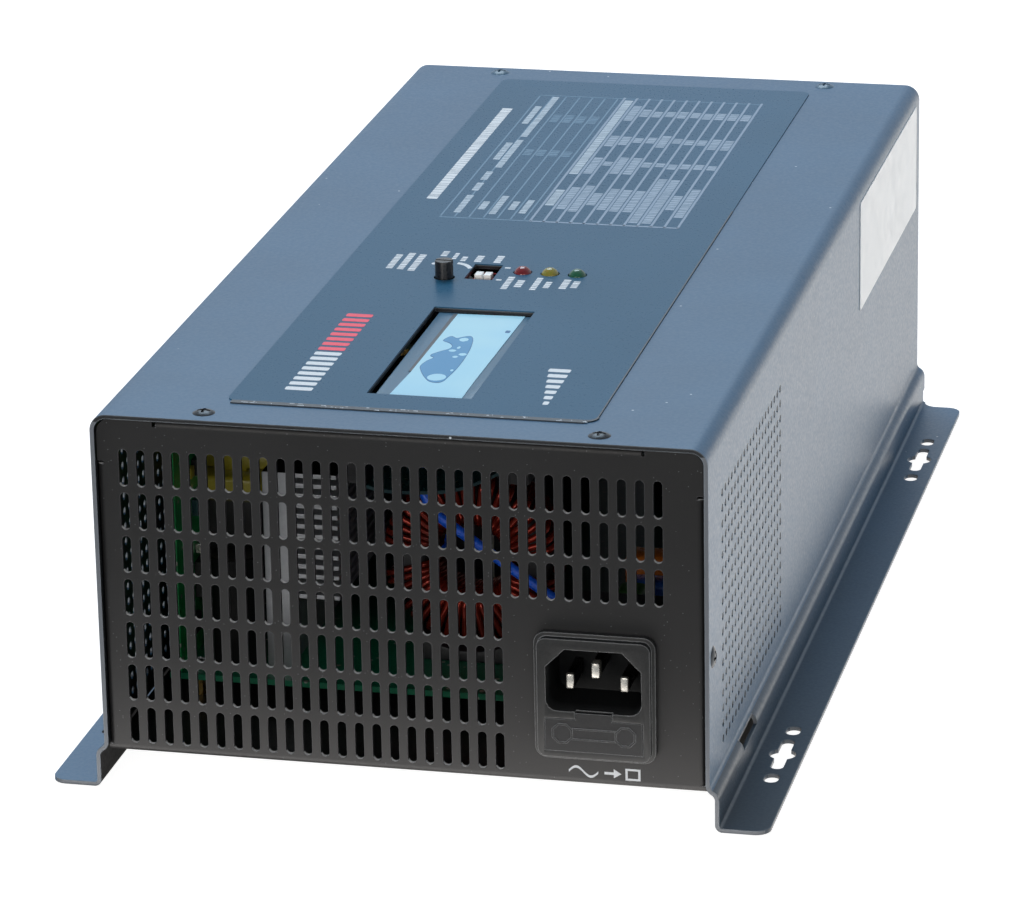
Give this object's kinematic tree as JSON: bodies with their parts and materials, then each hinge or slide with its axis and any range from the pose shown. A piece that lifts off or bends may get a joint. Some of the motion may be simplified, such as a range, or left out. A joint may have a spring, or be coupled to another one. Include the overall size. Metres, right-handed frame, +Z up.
{
  "type": "battery charger",
  "caption": "Mains battery charger in a folded steel case with slotted foot flanges, a vented front with a fused inlet, a top panel with display, knob and lamps, and a fan at the back.",
  "frame": {"origin": "on the plane of the feet, under the middle of the case's bounding box", "axes": "+Y from the vented front panel to the fan end, +Z up, +X to the mains inlet's side"},
  "size_m": [0.189, 0.3588, 0.1072],
  "materials": {
    "painted_steel": "satin powder coat",
    "black_steel": "fine textured powder coat",
    "printed_film": "satin polyester film",
    "white_label": "matt paper label",
    "zinc_steel": "zinc plated",
    "black_steel_screw": "black oxide",
    "black_plastic": "satin moulded",
    "drawer_plastic": "satin moulded",
    "fuse_glass": "clear",
    "nickel": "nickel plated",
    "circuit_board": "green solder mask",
    "brass": "turned",
    "display_frame": "satin",
    "display_light": "milky",
    "display_glass": "polished",
    "protective_film": "thin film",
    "trimmer_plastic": "moulded",
    "knob_plastic": "moulded",
    "switch_plastic": "moulded",
    "slider_plastic": "moulded",
    "red_lens": "tinted epoxy",
    "yellow_lens": "tinted epoxy",
    "green_lens": "tinted epoxy",
    "ferrite": "sintered",
    "yellow_tape": "polyester tape",
    "enamelled_copper": "enamelled wire",
    "aluminium": "extruded",
    "black_epoxy": "moulded",
    "capacitor_sleeve": "shrink sleeve",
    "orange_resin": "moulded",
    "blue_resin": "moulded",
    "white_wire": "vinyl",
    "blue_wire": "vinyl",
    "brown_wire": "vinyl",
    "earth_wire": "vinyl",
    "red_plastic": "moulded",
    "dark_plastic": "moulded"
  },
  "bodies": {
    "case": {"cover": "painted_steel", "chassis": "black_steel", "top_film": "printed_film", "cover_screws": "zinc_steel", "rating_sticker": "white_label", "inlet_body": "black_plastic", "inlet_pins": "nickel", "lcd_board": "circuit_board", "lcd_spacers": "brass", "lcd_frame": "display_frame", "lcd_light": "display_light", "lcd_glass": "display_glass", "lcd_film": "protective_film", "control_board": "circuit_board", "control_spacers": "brass", "trimmer_body": "trimmer_plastic", "dip_body": "switch_plastic", "lamp_red": "red_lens", "lamp_yellow": "yellow_lens", "lamp_green": "green_lens", "main_board": "circuit_board", "board_standoffs": "brass", "board_screws": "zinc_steel", "transformer_core": "ferrite", "transformer_winding": "yellow_tape", "input_capacitor": "black_plastic", "choke_core": "ferrite", "choke_winding": "enamelled_copper", "choke_base": "slider_plastic", "small_choke": "enamelled_copper", "heatsink": "aluminium", "power_transistors": "black_epoxy", "bulk_capacitors": "capacitor_sleeve", "output_capacitors": "capacitor_sleeve", "film_capacitor_orange": "orange_resin", "film_capacitor_blue": "blue_resin", "regulator_board": "circuit_board", "lead_connector": "slider_plastic", "display_lead": "white_wire", "blue_lead": "blue_wire", "brown_lead": "brown_wire", "earth_lead": "earth_wire", "earth_nut": "zinc_steel", "fan_frame": "black_plastic", "fan_screws": "black_steel_screw", "output_studs": "brass", "stud_nuts": "zinc_steel", "stud_collar_red": "red_plastic", "stud_collar_black": "dark_plastic", "output_lead_red": "red_plastic", "output_lead_black": "dark_plastic"},
    "knob": {"current_knob": "knob_plastic"},
    "switch_left": {"dip_slider_left": "slider_plastic"},
    "switch_right": {"dip_slider_right": "slider_plastic"},
    "drawer": {"fuse_drawer": "drawer_plastic", "fuse_glass": "fuse_glass", "fuse_caps": "nickel"},
    "rotor": {"fan_rotor": "black_plastic"}
  },
  "joints": [
    {"name": "current_knob_turn", "type": "hinge", "parent": "case", "child": "knob", "pos_m": [-0.0178, -0.0505, 0.104], "axis": [0, 0, 1], "range_deg": [-135, 135]},
    {"name": "switch_left_slide", "type": "slide", "parent": "case", "child": "switch_left", "axis": [0, 1, 0], "range_m": [0, 0.004]},
    {"name": "switch_right_slide", "type": "slide", "parent": "case", "child": "switch_right", "axis": [0, 1, 0], "range_m": [0, 0.004]},
    {"name": "fuse_drawer_slide", "type": "slide", "parent": "case", "child": "drawer", "axis": [0, -1, 0], "range_m": [0, 0.018]},
    {"name": "fan_spin", "type": "hinge", "parent": "case", "child": "rotor", "pos_m": [-0.028, 0.1485, 0.056], "axis": [0, 1, 0], "continuous": true}
  ]
}
